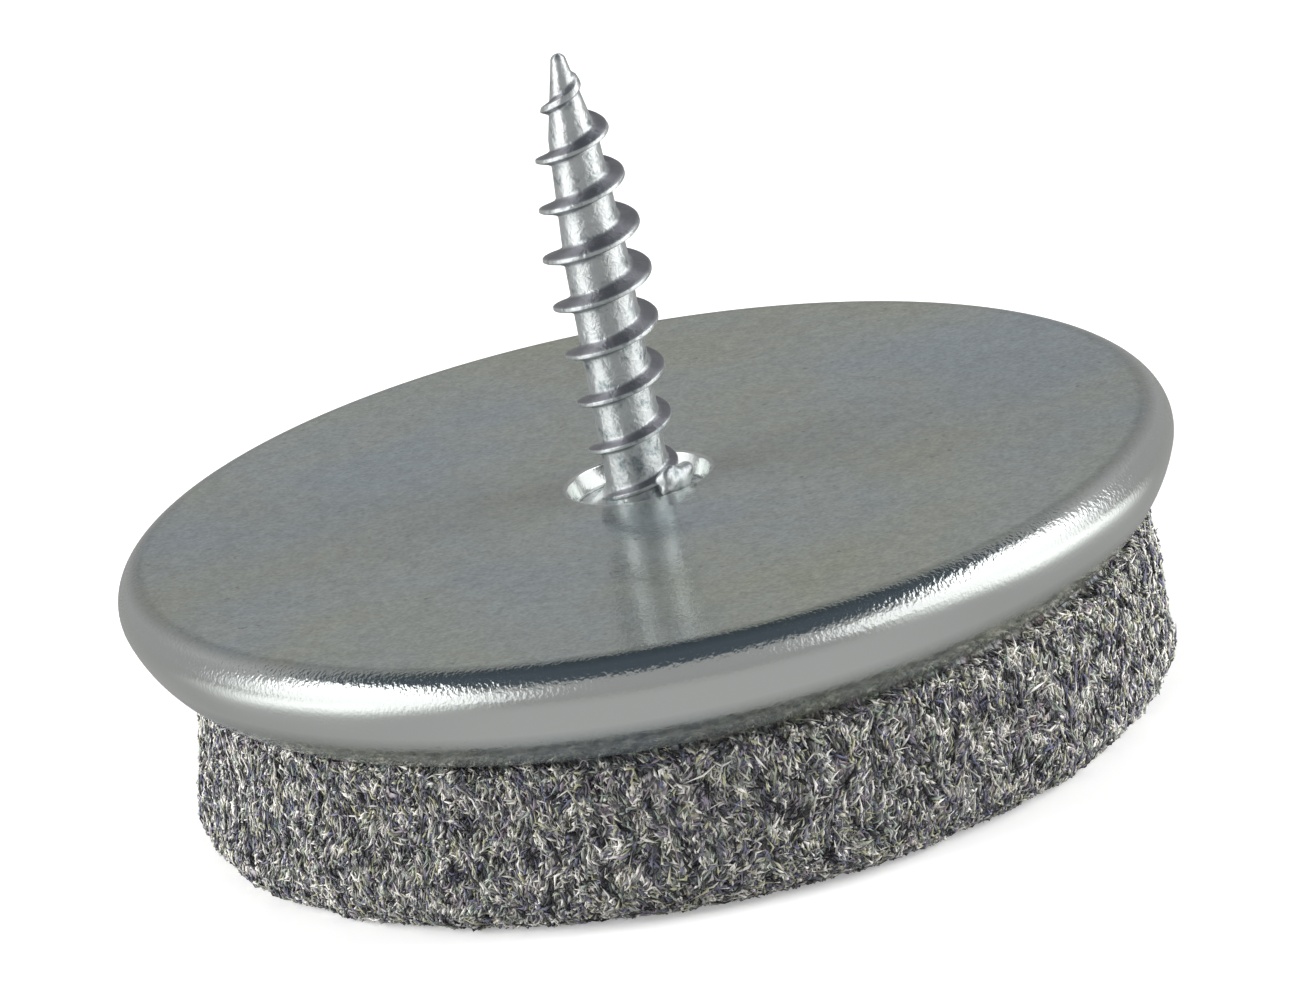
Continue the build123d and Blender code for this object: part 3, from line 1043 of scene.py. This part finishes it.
def tent(material):
    """Reflecting tent, a half sphere: grey, passing to cold dark overhead, with a bright card each side.

    The glow falls from the grey to the dark by a smooth step of the height above level, later in the two
    back corners, which are also a little lighter. Each card is a window in turn and height with soft edges,
    set where a highlight of the shoulder mirrors it, brighter above, with a wider, dimmer one round its low
    end. Turns and heights are in degrees.
    """
    reach = 1.2
    grey, corner_lift = 0.39, 0.09
    dark = np.array([0.075, 0.095, 0.115])
    dim_card, low_card, card_lift = 1.3, 1.4, 0.9
    rise, turn, way = directions(np.radians(np.linspace(-4, 90, 95)), 180)
    up = np.degrees(rise)
    corner = facing(turn, 14, (126, 26), (54, 26))
    low = grey + corner_lift * corner * smooth_step(20, 32, up)
    wide = facing(turn, 12, (201, 33), (341, 35)) * smooth_step(36, 24, up)
    low = low + (dim_card - low) * wide
    fall = smooth_step(35, 52, up - 8 * corner)
    glow = low[..., None] + (dark - low[..., None]) * fall[..., None]
    card = facing(turn, 8, (205 - 0.35 * up, 21), (348 + 0.33 * up, 22)) * smooth_step(54, 44, up)
    shine = low_card + card_lift * smooth_step(13, 25, up)
    glow = glow + (shine[..., None] - glow) * card[..., None]
    points, quads, _ = ring_faces(reach * way, np.linspace(0, 1, len(way)))
    stage_sheet("tent", points, quads, material, glow.reshape(-1, 3))


def table_glow(material):
    """Reflecting cards on the table round the object: grey, a little lighter in front, and bright each side.

    Away from the object the glow passes by a smooth step of the radius to a far one, which is lighter in a
    soft-edged sector each side, and by another to a bright card in a narrower sector within it.
    """
    grey, front_lift, side_lift, bright = 0.38, 0.1, 0.55, 1.45
    warm = np.array([1.0, 1.0, 0.985])
    height = 0.4 * MM
    rings = np.array([4, 15, 20, 25, 30, 35, 40, 45, 50, 55, 80, 120, 320, 1190]) * MM
    reach, turn = np.meshgrid(rings, line(0, CIRCLE, 120), indexing="ij")
    side = facing(turn, 12, (203, 28), (341, 30))
    card = facing(turn, 10, (204, 17), (348, 19))
    near = grey + front_lift * facing(turn, 30, (270, 50))
    far = grey + side_lift * side
    glow = near + (far - near) * smooth_step(26 * MM, 54 * MM, reach)
    glow = glow + (bright - glow) * card * smooth_step(22 * MM, 44 * MM, reach)
    points, quads, _ = ring_faces(about_z(reach, turn, height), np.linspace(0, 1, len(rings)))
    stage_sheet("table_cards", points, quads, material, glow.reshape(-1, 1) * warm)


def softbox(stage, name, side):
    """Rectangular area light on one side, turned to the object; radiance times pi times area gives watts."""
    light = bpy.data.lights.new(name, "AREA")
    light.shape = "RECTANGLE"
    light.size = stage.lamp_width
    light.size_y = stage.lamp_depth
    light.energy = stage.softbox * math.pi * stage.lamp_width * stage.lamp_depth
    place = Vector((side * stage.lamp_out, 0, stage.lamp_height))
    middle = Vector((0, 0, 10 * MM))
    lamp = bpy.data.objects.new(name, light)
    lamp.location = place
    lamp.rotation_mode = "QUATERNION"
    lamp.rotation_quaternion = (middle - place).to_track_quat("-Z", "Y")
    lamp.visible_camera = False
    lamp.visible_glossy = False
    bpy.context.collection.objects.link(lamp)


def studio_world(stage):
    """World that is white where it is seen, directly or mirrored, and a plain even fill elsewhere."""
    world = bpy.data.worlds.new("studio")
    world.use_nodes = True
    world.node_tree.nodes.clear()
    add = partial(add_node, world.node_tree)
    light = add("ShaderNodeMapRange", {"Value": seen_rays(add), "To Min": stage.fill, "To Max": 1.0})
    white = add("ShaderNodeBackground", {"Strength": light, "Color": (1, 1, 1, 1)})
    add("ShaderNodeOutputWorld", {"Surface": white})
    bpy.context.scene.world = world


def place_camera(stage):
    """Camera above and in front of the cup's top, rolled about its line of sight as the photo was taken."""
    data = bpy.data.cameras.new("camera")
    data.sensor_width = 36.0
    data.sensor_fit = "HORIZONTAL"
    data.lens = stage.lens
    data.clip_start = 10 * MM
    camera = bpy.data.objects.new("camera", data)
    sight = Matrix.Rotation(RIGHT - stage.elevation, 4, "X") @ Matrix.Rotation(-stage.roll, 4, "Z")
    stand = Matrix.Translation((stage.aside, -stage.below, stage.distance))
    camera.matrix_world = Matrix.Translation((0, 0, CUP_HIGH.z)) @ sight @ stand
    bpy.context.collection.objects.link(camera)
    bpy.context.scene.camera = camera


class GLIDE_OT_stage(bpy.types.Operator):
    """Sets the table, the reflectors, the lights and the camera"""

    bl_idname = "glide.stage"
    bl_label = "Stage"

    def execute(self, context):
        stage = context.scene.glide_stage
        half = 3.0
        floor = np.array([(-half, -half, 0), (half, -half, 0), (half, half, 0), (-half, half, 0)])
        stage_sheet("table", floor, np.array([[0, 1, 2, 3]]), table_white(stage))
        pale = reflector()
        tent(pale)
        table_glow(pale)
        softbox(stage, "softbox_left", -1)
        softbox(stage, "softbox_right", 1)
        studio_world(stage)
        place_camera(stage)
        context.scene.view_settings.view_transform = "Standard"
        return {"FINISHED"}


class GLIDE_PT_panel(bpy.types.Panel):
    """Lists the steps that build the glide"""

    bl_label = "Felt glide"
    bl_space_type = "VIEW_3D"
    bl_region_type = "UI"
    bl_category = "Glide"

    def draw(self, context):
        for operator in OPERATORS:
            self.layout.operator(operator.bl_idname)


SETTINGS = {
    "glide_cup": CupSettings,
    "glide_screw": ScrewSettings,
    "glide_felt": FeltSettings,
    "glide_stage": StageSettings,
}
OPERATORS = (GLIDE_OT_cup, GLIDE_OT_screw, GLIDE_OT_felt, GLIDE_OT_fibres, GLIDE_OT_stage)


def register():
    for made in (*SETTINGS.values(), *OPERATORS, GLIDE_PT_panel):
        bpy.utils.register_class(made)
    for name, group in SETTINGS.items():
        setattr(bpy.types.Scene, name, PointerProperty(type=group))


def unregister():
    for name in SETTINGS:
        delattr(bpy.types.Scene, name)
    for made in (GLIDE_PT_panel, *reversed(OPERATORS), *reversed(SETTINGS.values())):
        bpy.utils.unregister_class(made)


def main():
    register()
    bpy.ops.glide.cup()
    bpy.ops.glide.screw()
    bpy.ops.glide.felt()
    bpy.ops.glide.fibres()
    bpy.ops.glide.stage()


if __name__ == "__main__":
    main()
